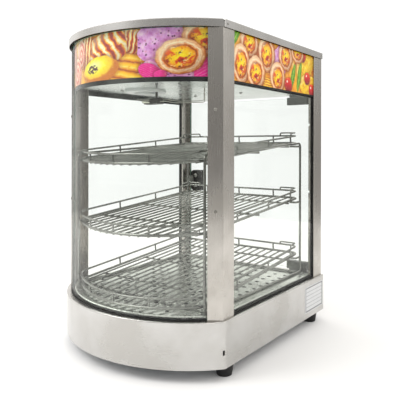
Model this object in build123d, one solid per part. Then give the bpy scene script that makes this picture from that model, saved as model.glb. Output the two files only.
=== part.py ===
from build123d import *
import os
from math import cos, hypot, radians, sin, sqrt

# Countertop hot food display case.
# Millimetres. The customer's side, with the curved glass, faces -Y; the door and controls face +Y.
# The origin is on the supporting surface, at the centre of the whole case.

# Overall sizes
WIDTH = 400.0
BODY_DEPTH = 498.0
HEIGHT = 610.0
ARC_RISE = 95.0
KNOB_PROUD = 22.0
FOOT_H = 22.0

# Plan shape, worked out from the sizes above
HALF_W = WIDTH / 2
REAR_Y = (BODY_DEPTH - KNOB_PROUD) / 2
FRONT_Y = REAR_Y - BODY_DEPTH
CORNER_Y = FRONT_Y + ARC_RISE
ARC_R = (HALF_W ** 2 + ARC_RISE ** 2) / (2 * ARC_RISE)
ARC_Y = FRONT_Y + ARC_R

# Sheet metal
SHEET = 1.2
THIN_SHEET = 1.0
BEND_OUTER = 1.8

# Base
BASE_TOP = 101.5
BASE_CORNER = 11.0
CORNER_SLOT_Z = 49.0
LEDGE_INSET = 34.0
WELL_REAR = 160.0
WELL_FLOOR = 48.0
WELL_WALL = 1.0
PAN_X = 236.0
PAN_Y = 242.0
PAN_DEPTH = 34.0
CONTROL_Z = 62.0
SENSOR_X = (20.0, 90.0)
SENSOR_Y = 114.0
SENSOR_Z = 78.0
SENSOR_TURN_X = 106.0

# Perforated floor cover
FLOOR_TOP = 108.0
FLOOR_INSET = 15.5
FLOOR_REAR = 204.0
HOLE_D = 9.2
HOLE_PITCH_X = 24.7
HOLE_PITCH_Y = 26.6

# Glass
GLASS = 4.0
CURVED_R = ARC_R - 9.5
CURVED_HALF_ANGLE = 48.5
CURVED_SEEN_ANGLE = 44.0
GLASS_BOTTOM = 102.4
SIDE_GLASS_X = 191.8
SIDE_GLASS_TOP = 508.0
GASKET = 1.2
GASKET_LIP = 1.0
GASKET_COVER = 0.9

# Posts
POST_X = 195.0
FRONT_POST_SIDE = 34.5
POST_LIP = 14.0
REAR_POST_FRONT = 198.0
REAR_LIP = 12.0

# Canopy
CAP_BOTTOM = 596.0
CAP_INSET = 2.4
SIGN_BOTTOM = 513.0
SIDE_SIGN_BOTTOM = 510.0
SIGN = 1.0
CEILING_Z = 515.0
CEILING_LIP = 504.5

# Wire rack and shelves
WIRE = 5.0
RAIL_WIRE = 4.0
GRID_WIRE = 3.5
PEG_WIRE = 4.4
GRID_DROP = 2.0
RACK_X = 162.0
RACK_FRONT = -173.0
RACK_REAR = 195.0
RACK_TOP_FRONT = 379.5
RACK_TOP_REAR = 402.0
RACK_FLOOR = FLOOR_TOP + WIRE / 2
SHELF_HALF = 156.0
SHELF_R = 230.0
SHELF_REAR = 193.0
SHELF_FRONT_CORNER = 30.0
SHELF_REAR_CORNER = 12.0
SHELF_TILT = 5.25
SHELF_REAR_Z = 152.0
SHELF_PITCH = 125.5
RAIL_RISE = 16.5
GRID_PITCH = 18.4
GRID_HALF_COUNT = 8
REST_GAP = 0.4

# Door
DOOR_Y = 230.5
DOOR_LEFT = -180.0
DOOR_RIGHT = 176.0
DOOR_BOTTOM = 108.0
DOOR_TOP = 509.0
PIVOT_X = 153.0
PIN_R = 3.0
PIN_CLEARANCE = 0.05
CLAMP_LEFT = 113.0
CLAMP_RIGHT = 165.0
CLAMP_DEPTH = 13.0
HANDLE_X = -162.0
HANDLE_Z = 303.0
HANDLE_SCREW_PITCH = 26.0

# Controls on the rear panel
KNOB_X = 118.0
KNOB_R = 19.0
SHAFT_R = 3.0
SWITCH_X = (-8.0, 34.0)
SWITCH_W = 15.0
SWITCH_H = 21.0
SWITCH_TILT = 7.0
TRUNNION_R = 1.5
LAMP_X = (66.0, 84.0)
GLAND_X = -150.0
GLAND_Z = 50.0
CORD_R = 4.0

# Ceiling light
LIGHT_X = -82.0
LIGHT_Y = -57.0
HOLDER_X = LIGHT_X + 32.0
HOLDER_Y = LIGHT_Y
HOLDER_Z = CEILING_Z - 24.0
HOLDER_HALF = (14.0, 9.0, 5.5)
GUARD_WIRE_R = 1.1

# Feet
FOOT_X = 180.0
FOOT_Y = (-139.0, 206.0)
FOOT_TOP_R = 17.0
FOOT_BOTTOM_R = 13.5

PANEL_INNER = REAR_Y - SHEET

PARTS = {}


# ---------------------------------------------------------------- helpers

def keep(name, *solids):
    """Store one node, made of one solid or of several separate ones."""
    shapes = []
    for item in solids:
        shapes.extend(item.solids())
    PARTS[name] = shapes[0] if len(shapes) == 1 else Compound(children=shapes)


def slab(face, low, high):
    """Raise a flat face into a solid between two heights."""
    return Pos(0, 0, low) * extrude(face, high - low)


def block(x, y, z):
    """Box between pairs of coordinates."""
    size = (x[1] - x[0], y[1] - y[0], z[1] - z[0])
    return Pos((x[0] + x[1]) / 2, (y[0] + y[1]) / 2, (z[0] + z[1]) / 2) * Box(*size)


def rod(start, end, radius):
    """Round bar between two points."""
    axis = Vector(*end) - Vector(*start)
    plane = Plane(origin=start, z_dir=axis)
    return plane * Cylinder(radius, axis.length, align=(Align.CENTER, Align.CENTER, Align.MIN))


def wire_sweep(path, radius):
    """Round wire along a path."""
    start = Plane(origin=path @ 0, z_dir=path % 0)
    return sweep(start * Circle(radius), path=path)


def bent_wire(points, bend, radius, closed=False):
    """Round wire through points, with a bend radius at each corner."""
    return wire_sweep(FilletPolyline(*points, radius=bend, close=closed), radius)


def both_sides(shape):
    """The shape and its mirror image about the case's centre plane."""
    return shape, mirror(shape, about=Plane.YZ)


def plan(inset, rear=REAR_Y, corner=0.0):
    """D-shaped plan of the case, moved in from the base's outline."""
    half = HALF_W - inset
    return d_outline(half, ARC_R - inset, rear, corner)


def d_outline(half, radius, rear, corner=0.0, rear_corner=0.0):
    """D-shaped face: straight sides and rear, and an arc to the front."""
    corner_y = ARC_Y - sqrt(radius ** 2 - half ** 2)
    front = ThreePointArc((-half, corner_y), (0, ARC_Y - radius), (half, corner_y))
    right = Line((half, corner_y), (half, rear))
    back = Line((half, rear), (-half, rear))
    left = Line((-half, rear), (-half, corner_y))
    face = Face(Wire([front, right, back, left]))
    if corner:
        front_points = [v for v in face.vertices() if v.Y < rear - 1]
        face = face.fillet_2d(corner, front_points)
    if rear_corner:
        rear_points = [v for v in face.vertices() if v.Y > rear - 1]
        face = face.fillet_2d(rear_corner, rear_points)
    return face


def arc_band(inner, outer, half_angle, low, high):
    """Upright curved band about the plan's arc centre, open to the rear."""
    def at(radius, angle):
        return (radius * sin(radians(angle)), ARC_Y - radius * cos(radians(angle)))
    outside = ThreePointArc(at(outer, -half_angle), at(outer, 0), at(outer, half_angle))
    inside = ThreePointArc(at(inner, half_angle), at(inner, 0), at(inner, -half_angle))
    right = Line(at(outer, half_angle), at(inner, half_angle))
    left = Line(at(inner, -half_angle), at(outer, -half_angle))
    return slab(Face(Wire([outside, right, inside, left])), low, high)


def folded_sheet(points, thickness, low, high):
    """Upright folded sheet. The points run along its outside, which lies on their right."""
    def normal(a, b):
        length = hypot(b[0] - a[0], b[1] - a[1])
        return (-(b[1] - a[1]) / length, (b[0] - a[0]) / length)
    normals = [normal(a, b) for a, b in zip(points, points[1:])]
    inner = []
    for index, point in enumerate(points):
        before = normals[max(index - 1, 0)]
        after = normals[min(index, len(normals) - 1)]
        mitre = (before[0] + after[0], before[1] + after[1])
        scale = thickness * 2 / (mitre[0] ** 2 + mitre[1] ** 2)
        inner.append((point[0] + mitre[0] * scale, point[1] + mitre[1] * scale))
    outline = make_face(Polyline(*points, *reversed(inner), close=True))
    face = outline.faces()[0]
    for bends, radius in ((points[1:-1], BEND_OUTER), (inner[1:-1], BEND_OUTER - SHEET)):
        corners = [v for v in face.vertices() if any(hypot(v.X - x, v.Y - y) < 0.05 for x, y in bends)]
        face = face.fillet_2d(radius, corners)
    return slab(face, low, high)


def rivet(point, normal, head=3.0, shank=1.6, length=1.2):
    """Domed rivet head on a face, with its shank through the sheet behind."""
    dome_r = head * 1.25
    sink = sqrt(dome_r ** 2 - head ** 2)
    dome = Pos(0, 0, -sink) * Sphere(dome_r)
    dome &= Pos(0, 0, 2) * Box(20, 20, 4)
    stem = Pos(0, 0, -length / 2) * Cylinder(shank, length)
    return Plane(origin=point, z_dir=normal) * (dome + stem)


def pan_screw(point, normal, head=4.0, shank=2.0, length=6.0):
    """Pan-head screw with a cross recess, seated on a face."""
    top = Cylinder(head, 2.4, align=(Align.CENTER, Align.CENTER, Align.MIN))
    top = fillet(top.edges().group_by(Axis.Z)[-1], 1.2)
    for size in ((head, 0.9, 1.4), (0.9, head, 1.4)):
        top -= Pos(0, 0, 2.4) * Box(*size)
    stem = Pos(0, 0, -length / 2) * Cylinder(shank, length)
    return Plane(origin=point, z_dir=normal) * (top + stem)


def corner_room(low, high):
    """Space that the four posts' lips need in a panel that reaches into them."""
    x = (POST_X - POST_LIP - 1, HALF_W)
    front = block(x, (FRONT_Y, CORNER_Y + FRONT_POST_SIDE + 0.6), (low, high))
    rear = block(x, (REAR_POST_FRONT - 0.6, REAR_Y + 9), (low, high))
    return front + rear + mirror(front, about=Plane.YZ) + mirror(rear, about=Plane.YZ)


# ---------------------------------------------------------------- base

def base_shell():
    """Skirt and ledge in one sheet, open at the rear for the control panel."""
    shell = slab(plan(0, corner=BASE_CORNER), FOOT_H, BASE_TOP)
    rear_edge = shell.edges().group_by(Axis.Z)[-1].sort_by(Axis.Y)[-1]
    shell = fillet(shell.edges().group_by(Axis.Z)[-1] - [rear_edge], BEND_OUTER)
    inside = plan(SHEET, rear=REAR_Y + 5, corner=BASE_CORNER - SHEET)
    shell -= slab(inside, FOOT_H - 5, BASE_TOP - SHEET)
    shell -= slab(plan(LEDGE_INSET, rear=WELL_REAR, corner=10), BASE_TOP - 5, BASE_TOP + 5)
    corner_slot = Rot(0, 0, -20) * (Rot(0, 90, 0) * extrude(SlotOverall(9, 3.6), 8, both=True))
    shell -= Pos(HALF_W - 2, CORNER_Y - 2, CORNER_SLOT_Z) * corner_slot
    return shell


def base_bottom_plate():
    """Flat plate between the skirt's lower edges, with vents and foot screw holes."""
    plate = slab(plan(SHEET, rear=PANEL_INNER, corner=BASE_CORNER - SHEET), FOOT_H, FOOT_H + SHEET)
    for x in (-FOOT_X, FOOT_X):
        for y in FOOT_Y:
            plate -= Pos(x, y, FOOT_H) * Cylinder(2.1, 10)
    for row in range(7):
        for x in (-70, 0, 70):
            vent = Pos(x, 60 + 14 * row, FOOT_H - 2) * extrude(SlotOverall(48, 3.5), 6)
            plate -= vent
    return plate


def base_rear_panel():
    """Control panel that closes the base at the rear."""
    half = HALF_W - SHEET
    panel = block((-half, half), (PANEL_INNER, REAR_Y), (FOOT_H, BASE_TOP - SHEET))
    panel -= rod((KNOB_X, REAR_Y - 9, CONTROL_Z), (KNOB_X, REAR_Y + 9, CONTROL_Z), 5.0)
    for x in SWITCH_X:
        half_w = SWITCH_W / 2 - 1
        half_h = SWITCH_H / 2 - 1
        panel -= block((x - half_w, x + half_w), (REAR_Y - 9, REAR_Y + 9),
                       (CONTROL_Z - half_h, CONTROL_Z + half_h))
    for x in LAMP_X:
        panel -= rod((x, REAR_Y - 9, CONTROL_Z), (x, REAR_Y + 9, CONTROL_Z), 4.0)
    panel -= rod((GLAND_X, REAR_Y - 9, GLAND_Z), (GLAND_X, REAR_Y + 9, GLAND_Z), 8.0)
    for x in (-60, -50, -40, -70, -80, -90):
        slot = Rot(90, 0, 0) * extrude(SlotOverall(26, 3.2, rotation=90), 8, both=True)
        panel -= Pos(x, REAR_Y, CONTROL_Z) * slot
    for x, z in panel_screw_places():
        panel -= rod((x, REAR_Y - 9, z), (x, REAR_Y + 9, z), 2.0)
    return panel


def panel_screw_places():
    """Corner screws of the control panel."""
    return [(x, z) for x in (-188, 188) for z in (FOOT_H + 12, BASE_TOP - 14)]


def inner_well():
    """Heated well under the floor: a deep tray that hangs from the base's ledge."""
    rim = slab(plan(LEDGE_INSET - 7, rear=WELL_REAR + 7, corner=10), BASE_TOP - SHEET - 1, BASE_TOP - SHEET)
    tray = slab(plan(LEDGE_INSET, rear=WELL_REAR, corner=10), WELL_FLOOR, BASE_TOP - SHEET)
    hollow = plan(LEDGE_INSET + WELL_WALL, rear=WELL_REAR - WELL_WALL, corner=9)
    well = rim + tray - slab(hollow, WELL_FLOOR + WELL_WALL, BASE_TOP + 5)
    for x in (-45, 45):
        well -= rod((x, WELL_REAR - 5, 66), (x, WELL_REAR + 5, 66), 6.0)
    well -= rod((SENSOR_TURN_X, WELL_REAR - 5, SENSOR_Z), (SENSOR_TURN_X, WELL_REAR + 5, SENSOR_Z), 1.5)
    return well


def heating_element():
    """Sheathed tube that runs round the water pan, with a terminal at each end."""
    z = 66.0
    route = [(-45, WELL_REAR + 16, z), (-45, 128, z), (-132, 128, z), (-132, -150, z),
             (132, -150, z), (132, 128, z), (45, 128, z), (45, WELL_REAR + 16, z)]
    tube = bent_wire(route, 22, 4.0)
    pins = [rod((x, WELL_REAR + 16, z), (x, WELL_REAR + 26, z), 1.5) for x in (-45, 45)]
    return tube + pins[0] + pins[1]


def heater_bushes():
    """Ceramic bushes that carry the element through the well's rear wall."""
    for x in (-45, 45):
        bush = rod((x, WELL_REAR - 4, 66), (x, WELL_REAR - WELL_WALL, 66), 8.0)
        bush += rod((x, WELL_REAR - 4, 66), (x, WELL_REAR + 8, 66), 6.0)
        yield bush - rod((x, WELL_REAR - 20, 66), (x, WELL_REAR + 20, 66), 4.0)


def heater_clips():
    """Saddles that hold the element above the well's floor."""
    for x in (-132, 132):
        for y in (-80, 60):
            clip = block((x - 7, x + 7), (y - 5, y + 5), (WELL_FLOOR + WELL_WALL, 71.5))
            clip -= rod((x, y - 9, 66), (x, y + 9, 66), 4.0)
            clip -= block((x - 5.5, x + 5.5), (y - 9, y + 9), (WELL_FLOOR + 3, 61))
            yield clip
    for x in (SENSOR_X[0] + 8, SENSOR_X[1] - 8):
        saddle = block((x - 3, x + 3), (SENSOR_Y - 4, SENSOR_Y + 4), (WELL_FLOOR + WELL_WALL, SENSOR_Z))
        yield saddle - rod((x - 9, SENSOR_Y, SENSOR_Z), (x + 9, SENSOR_Y, SENSOR_Z), 3.0)


def water_pan():
    """Shallow pan that keeps the cabinet moist, standing in the well."""
    low = WELL_FLOOR + WELL_WALL
    outside = Pos(0, -15, low) * extrude(RectangleRounded(PAN_X, PAN_Y, 12), PAN_DEPTH)
    inside = Pos(0, -15, low + 1) * extrude(RectangleRounded(PAN_X - 2, PAN_Y - 2, 11), 40)
    rim = Pos(0, -15, low + PAN_DEPTH - 1) * extrude(RectangleRounded(PAN_X + 10, PAN_Y + 10, 16), 1)
    return outside + rim - inside


def floor_cover():
    """Raised perforated cover over the well."""
    top = plan(FLOOR_INSET, rear=FLOOR_REAR, corner=6)
    cover = slab(top, BASE_TOP, FLOOR_TOP)
    cover = fillet(cover.edges().group_by(Axis.Z)[-1], 1.6)
    inside = plan(FLOOR_INSET + THIN_SHEET, rear=FLOOR_REAR - THIN_SHEET, corner=5)
    cover -= slab(inside, BASE_TOP - 5, FLOOR_TOP - THIN_SHEET)
    centres = []
    for row in range(15):
        y = 175.0 - HOLE_PITCH_Y * row
        for column in range(-6, 7):
            x = HOLE_PITCH_X * column
            if hypot(x, y - ARC_Y) < ARC_R - FLOOR_INSET - 22 or y > ARC_Y:
                centres.append((x, y))
    holes = Sketch() + [Pos(x, y) * Circle(HOLE_D / 2) for x, y in centres]
    cover -= Pos(0, 0, FLOOR_TOP - 3) * extrude(holes, 6)
    return cover - corner_room(BASE_TOP - 5, FLOOR_TOP + 5)


def foot(x, y):
    """Tapered rubber foot with a recess for its screw."""
    body = Pos(x, y, FOOT_H / 2) * Cone(FOOT_BOTTOM_R, FOOT_TOP_R, FOOT_H)
    body = chamfer(body.edges().group_by(Axis.Z)[0], 0.8)
    body -= Pos(x, y, 5) * Cylinder(6, 10.2)
    return body - Pos(x, y, 15) * Cylinder(2.1, 20)


def foot_screws():
    """One screw up through each foot into the bottom plate."""
    for x in (-FOOT_X, FOOT_X):
        for y in FOOT_Y:
            yield pan_screw((x, y, 10.1), (0, 0, -1), head=4.2, shank=2.0, length=16)


# ---------------------------------------------------------------- frame and glass

def front_post():
    """Right front post: a folded sheet that covers the ends of the curved and side glass."""
    points = [(174.5, -182.0), (POST_X, CORNER_Y), (POST_X, CORNER_Y + FRONT_POST_SIDE),
              (POST_X - POST_LIP, CORNER_Y + FRONT_POST_SIDE)]
    post = folded_sheet(points, SHEET, BASE_TOP, CAP_BOTTOM)
    for point, normal in front_rivet_places():
        post -= Plane(origin=point, z_dir=normal) * Cylinder(1.6, 8)
    return post


def front_rivet_places():
    """Two rivets in the middle of the front face."""
    along = Vector(POST_X - 174.5, CORNER_Y + 182.0, 0).normalized()
    normal = (along.Y, -along.X, 0)
    middle = ((174.5 + POST_X) / 2, (CORNER_Y - 182.0) / 2)
    return [((middle[0], middle[1], z), normal) for z in (285.0, 457.0)]


def rear_post():
    """Right rear post: a channel with a lip to the side glass and one to the door."""
    points = [(POST_X - POST_LIP, REAR_POST_FRONT), (POST_X, REAR_POST_FRONT)]
    points += [(POST_X, REAR_Y), (POST_X - REAR_LIP, REAR_Y)]
    post = folded_sheet(points, SHEET, BASE_TOP, CAP_BOTTOM)
    for z in (293.0, 444.0):
        post -= rod((POST_X - POST_LIP, REAR_POST_FRONT - 5, z), (POST_X - POST_LIP, REAR_POST_FRONT + 5, z), 3.0)
    for point, normal in rear_rivet_places():
        post -= Plane(origin=point, z_dir=normal) * Cylinder(1.6, 6)
    return post


def rear_rivet_places():
    """Two rivets through the lip beside the side glass."""
    return [((POST_X - 11.2, REAR_POST_FRONT, z), (0, -1, 0)) for z in (228.0, 382.0)]


def curved_glass():
    """Bent front glass, from the base to the cap."""
    return arc_band(CURVED_R - GLASS, CURVED_R, CURVED_HALF_ANGLE, GLASS_BOTTOM, CAP_BOTTOM)


def curved_gasket():
    """Rubber channel along the bottom of the bent glass."""
    top = GLASS_BOTTOM + GASKET_COVER
    outside = arc_band(CURVED_R - GLASS - GASKET, CURVED_R + GASKET, CURVED_SEEN_ANGLE, BASE_TOP, top)
    return outside - arc_band(CURVED_R - GLASS, CURVED_R, CURVED_HALF_ANGLE, GLASS_BOTTOM, BASE_TOP + 9)


def side_glass_y():
    """Front and rear edges of the side glass."""
    return (CORNER_Y + FRONT_POST_SIDE + GASKET_LIP, REAR_POST_FRONT - GASKET_LIP)


def side_glass():
    """Flat right side glass."""
    return block((SIDE_GLASS_X - GLASS, SIDE_GLASS_X), side_glass_y(), (GLASS_BOTTOM, SIDE_GLASS_TOP))


def side_gasket():
    """Rubber channel round the edge of the side glass."""
    front, rear = side_glass_y()
    lip = GASKET_LIP
    outside = block((SIDE_GLASS_X - GLASS - 1, SIDE_GLASS_X + 1), (front - lip, rear + lip),
                    (BASE_TOP, SIDE_GLASS_TOP + lip))
    cover = GASKET_COVER
    outside -= block((0, 300), (front + cover, rear - cover), (GLASS_BOTTOM + cover, SIDE_GLASS_TOP - cover))
    return outside - side_glass()


# ---------------------------------------------------------------- canopy

def ceiling_pan():
    """Shallow inverted tray that makes the cabinet's ceiling and carries the signs."""
    lip_r = CURVED_R - GLASS - 0.6 - SIGN
    half = SIDE_GLASS_X - GLASS - 1.4
    rear = REAR_Y - 2.6
    outer = d_outline(half, lip_r, rear)
    inner = d_outline(half - SHEET, lip_r - SHEET, rear + 5)
    pan = slab(outer, CEILING_LIP, CEILING_Z + SHEET) - slab(inner, CEILING_LIP - 5, CEILING_Z)
    pan -= rod((PIVOT_X, DOOR_Y, CEILING_Z - 5), (PIVOT_X, DOOR_Y, CEILING_Z + 5), 5.0)
    for x, y in ceiling_screw_places():
        pan -= Pos(x, y, CEILING_Z) * Cylinder(2.0, 10)
    for x, y in lamp_wire_ends():
        pan -= Pos(x, y, CEILING_Z) * Cylinder(0.9, 10)
    return pan - corner_room(CEILING_LIP - 9, CEILING_Z + 9)




def ceiling_screw_places():
    """Ceiling screws on each side."""
    return [(-64, 98), (64, 98), (-120, -90), (64, -120)]


def sign_front():
    """Printed panel behind the upper part of the bent glass."""
    inner = CURVED_R - GLASS - 0.4 - SIGN
    return arc_band(inner, inner + SIGN, CURVED_HALF_ANGLE - 2.5, SIGN_BOTTOM, CAP_BOTTOM)


def sign_side():
    """Printed panel above the right side glass, between the posts."""
    front, rear = side_glass_y()
    return block((SIDE_GLASS_X - SIGN, SIDE_GLASS_X), (front, rear), (SIDE_SIGN_BOTTOM, CAP_BOTTOM))


def canopy_rear_panel():
    """Plain panel that closes the canopy above the door."""
    return block((-POST_X + SHEET, POST_X - SHEET), (REAR_Y - 2 * SHEET, PANEL_INNER), (CEILING_Z, CAP_BOTTOM))


def cap_lid():
    """Flat lid with a folded edge and a notch in each front corner seam."""
    lid = slab(plan(CAP_INSET, rear=REAR_Y - 1, corner=2), CAP_BOTTOM, HEIGHT)
    lid = fillet(lid.edges().group_by(Axis.Z)[-1], 1.5)
    lid -= slab(plan(CAP_INSET + SHEET, rear=REAR_Y - 1 - SHEET, corner=0.8), CAP_BOTTOM - 5, HEIGHT - SHEET)
    for side in (-1, 1):
        x = side * (HALF_W - CAP_INSET)
        notch = Polyline((0, 4.0), (1.6, -9), (-1.6, -9), close=True)
        wedge = Plane(origin=(x, CORNER_Y, HEIGHT - 6), x_dir=(0, -1, 0), z_dir=(side, 0, 0))
        lid -= wedge * extrude(make_face(notch), 5, both=True)
    for point, normal in cap_rivet_places():
        lid -= Plane(origin=point, z_dir=normal) * Cylinder(1.3, 6)
    return lid


def cap_rivet_places():
    """Small rivets beside the folded corners."""
    x = HALF_W - CAP_INSET
    for side in (-1, 1):
        for y in (CORNER_Y + 9, REAR_Y - 9):
            yield ((side * x, y, CAP_BOTTOM + 6), (side, 0, 0))


def rivets():
    """Every rivet of the posts and cap."""
    for point, normal in front_rivet_places():
        yield from both_sides(rivet(point, normal, length=1.2))
    for point, normal in rear_rivet_places():
        yield from both_sides(rivet(point, normal, head=2.4, length=1.2))
    for point, normal in cap_rivet_places():
        yield rivet(point, normal, head=2.2, shank=1.3, length=1.2)


# ---------------------------------------------------------------- ceiling light

def lamp_base():
    """Round plate on the ceiling that carries the lamp holder."""
    disc = Pos(LIGHT_X, LIGHT_Y, CEILING_Z - 2.5) * Cylinder(45, 5)
    disc = fillet(disc.edges().group_by(Axis.Z)[0], 2)
    boss = Pos(LIGHT_X, LIGHT_Y, CEILING_Z - 6.5) * Cylinder(23, 3)
    return disc + fillet(boss.edges().group_by(Axis.Z)[0], 1)


def lamp_holder():
    """Ceramic lamp holder on a short stem."""
    stem = rod((HOLDER_X, HOLDER_Y, HOLDER_Z), (HOLDER_X, HOLDER_Y, CEILING_Z - 5), 2.5)
    half_x, half_y, half_z = HOLDER_HALF
    body = block((HOLDER_X - half_x, HOLDER_X + half_x), (HOLDER_Y - half_y, HOLDER_Y + half_y),
                 (HOLDER_Z - half_z, HOLDER_Z + half_z))
    return stem + fillet(body.edges().filter_by(Axis.Z), 3)


def lamp_capsule():
    """Small halogen capsule, lying level."""
    start = (HOLDER_X - 14, HOLDER_Y, HOLDER_Z)
    end = (HOLDER_X - 38, HOLDER_Y, HOLDER_Z)
    return rod(start, end, 3.6) + Pos(*end) * Sphere(3.6)


def lamp_guard():
    """Two level wire loops round the capsule, held on the sides of its holder."""
    side = HOLDER_HALF[1] + GUARD_WIRE_R
    start = HOLDER_X + 10
    for height, reach in ((HOLDER_Z + 5.0, 52), (HOLDER_Z - 5.2, 30)):
        points = [(start, HOLDER_Y - side, height), (HOLDER_X - reach, HOLDER_Y - side, height),
                  (HOLDER_X - reach, HOLDER_Y + side, height), (start, HOLDER_Y + side, height)]
        yield bent_wire(points, 6, GUARD_WIRE_R)


def lamp_wire_ends():
    """Where the two lamp wires pass through the ceiling."""
    return [(LIGHT_X + 112, LIGHT_Y + 62), (LIGHT_X + 118, LIGHT_Y + 56)]


def lamp_wires():
    """Two leads from the holder to the ceiling, sagging a little."""
    for index, (x, y) in enumerate(lamp_wire_ends()):
        z = HOLDER_Z + 2 - 4 * index
        start = (HOLDER_X + 14, HOLDER_Y + 4 - 8 * index, z)
        straight = (HOLDER_X + 26, HOLDER_Y + 4 - 8 * index, z)
        middle = (HOLDER_X + 46, HOLDER_Y + 22 - 10 * index, z - 3)
        path = FilletPolyline(start, straight, middle, (x, y, z - 1), (x, y, CEILING_Z + 4), radius=5)
        yield wire_sweep(path, 0.8)


# ---------------------------------------------------------------- rack and shelves

def shelf_front_y(x, half=SHELF_HALF, radius=SHELF_R, corner=SHELF_FRONT_CORNER):
    """Front edge of a shelf's outline at a given x."""
    centre_x = half - corner
    reach = radius - corner
    tangent = centre_x * radius / reach
    if abs(x) < tangent:
        return ARC_Y - sqrt(radius ** 2 - x ** 2)
    centre_y = ARC_Y - sqrt(reach ** 2 - centre_x ** 2)
    return centre_y - sqrt(corner ** 2 - (abs(x) - centre_x) ** 2)


def ring_z(level, y):
    """Height of a shelf's ring at a given y."""
    rear_z = SHELF_REAR_Z + SHELF_PITCH * level
    return rear_z - (SHELF_REAR - y) * sin(radians(SHELF_TILT))


def place_shelf(shape, level):
    """Tilt a flat shelf piece about its rear edge and set it at its level."""
    rear_z = SHELF_REAR_Z + SHELF_PITCH * level
    return Pos(0, SHELF_REAR, rear_z) * (Rot(SHELF_TILT, 0, 0) * (Pos(0, -SHELF_REAR, 0) * shape))


def ring(radius, height):
    """Closed wire ring in the shelf's outline."""
    outline = d_outline(SHELF_HALF, SHELF_R, SHELF_REAR, SHELF_FRONT_CORNER, SHELF_REAR_CORNER)
    path = Pos(0, 0, height) * outline.outer_wire()
    return wire_sweep(path, radius)


def shelf_grid():
    """Ring with the wires that carry the food."""
    grid = ring(WIRE / 2, 0)
    drop = -GRID_DROP
    wires = []
    for index in range(-GRID_HALF_COUNT, GRID_HALF_COUNT + 1):
        x = GRID_PITCH * index
        wires.append(rod((x, SHELF_REAR + 1.2, drop), (x, shelf_front_y(x) - 1.2, drop), GRID_WIRE / 2))
    for y in (-110, 20, 150):
        wires.append(rod((-SHELF_HALF, y, drop - 3), (SHELF_HALF, y, drop - 3), RAIL_WIRE / 2))
    return grid + wires


def shelf_rail():
    """Guard rail above the ring, on short posts, with a hand loop at each rear corner."""
    rail = ring(RAIL_WIRE / 2, RAIL_RISE)
    places = [(0, SHELF_REAR), (-95, SHELF_REAR), (95, SHELF_REAR)]
    for side in (-1, 1):
        places += [(side * SHELF_HALF, y) for y in (160, 60, -60)]
        places += [(side * 75, shelf_front_y(75))]
    places.append((0, shelf_front_y(0)))
    base = WIRE / 2
    posts = [rod((x, y, base), (x, y, RAIL_RISE), 1.75) for x, y in places]
    for side in (-1, 1):
        x_out = side * (SHELF_HALF - 2)
        x_in = side * (SHELF_HALF - 40)
        points = [(x_in, SHELF_REAR - 4, RAIL_RISE), (x_in, SHELF_REAR - 4, RAIL_RISE + 7),
                  (x_out, SHELF_REAR - 4, RAIL_RISE + 7), (x_out, SHELF_REAR - 26, RAIL_RISE + 7),
                  (x_out, SHELF_REAR - 26, RAIL_RISE)]
        posts.append(bent_wire(points, 3.2, 1.6))
    return rail + posts


def rack_side():
    """Right side of the rack: a closed wire frame and a peg for each shelf corner."""
    corners = [(RACK_X, RACK_FRONT, RACK_FLOOR), (RACK_X, RACK_REAR, RACK_FLOOR),
               (RACK_X, RACK_REAR, RACK_TOP_REAR), (RACK_X, RACK_FRONT, RACK_TOP_FRONT)]
    frame = bent_wire(corners, 8, WIRE / 2, closed=True)
    pegs = []
    for level in range(3):
        for upright, y in ((RACK_FRONT, -150.0), (RACK_REAR, 172.0)):
            z = ring_z(level, y) - GRID_DROP - GRID_WIRE / 2 - REST_GAP - PEG_WIRE / 2
            if z < RACK_FLOOR + WIRE:
                continue
            points = [(RACK_X, upright, z), (RACK_X, y, z), (RACK_X - 14, y, z)]
            pegs.append(bent_wire(points, 4, PEG_WIRE / 2))
    return frame + pegs


def rack_frame():
    """Free-standing wire rack that carries the shelves."""
    right = rack_side()
    left = mirror(right, about=Plane.YZ)
    ends = (RACK_FRONT + 9, RACK_REAR - 9)
    cross = [rod((-RACK_X, y, RACK_FLOOR), (RACK_X, y, RACK_FLOOR), PEG_WIRE / 2) for y in ends]
    return right + [left, *cross]


# ---------------------------------------------------------------- door

def door_glass():
    """Frameless rear door glass with two holes for its handle."""
    width = DOOR_RIGHT - DOOR_LEFT
    height = DOOR_TOP - DOOR_BOTTOM
    face = RectangleRounded(width, height, 4)
    place = Plane(origin=((DOOR_LEFT + DOOR_RIGHT) / 2, DOOR_Y - GLASS / 2, (DOOR_TOP + DOOR_BOTTOM) / 2),
                  x_dir=(1, 0, 0), z_dir=(0, -1, 0))
    pane = place * extrude(face, -GLASS)
    for z in handle_screw_heights():
        pane -= rod((HANDLE_X, DOOR_Y - 9, z), (HANDLE_X, DOOR_Y + 9, z), 2.5)
    return pane


def handle_screw_heights():
    """Heights of the two handle screws."""
    return (HANDLE_Z - HANDLE_SCREW_PITCH / 2, HANDLE_Z + HANDLE_SCREW_PITCH / 2)


def hinge_clamp(low, high, pin_low, pin_high, glass_low, glass_high):
    """Metal clamp that grips the glass at the pivot."""
    body = block((CLAMP_LEFT, CLAMP_RIGHT), (DOOR_Y - CLAMP_DEPTH / 2, DOOR_Y + CLAMP_DEPTH / 2), (low, high))
    body = chamfer(body.edges().filter_by(Axis.Z), 1.5)
    body -= block((CLAMP_LEFT - 9, CLAMP_RIGHT + 9), (DOOR_Y - GLASS / 2, DOOR_Y + GLASS / 2), (glass_low, glass_high))
    return body - rod((PIVOT_X, DOOR_Y, pin_low), (PIVOT_X, DOOR_Y, pin_high), PIN_R)


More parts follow.
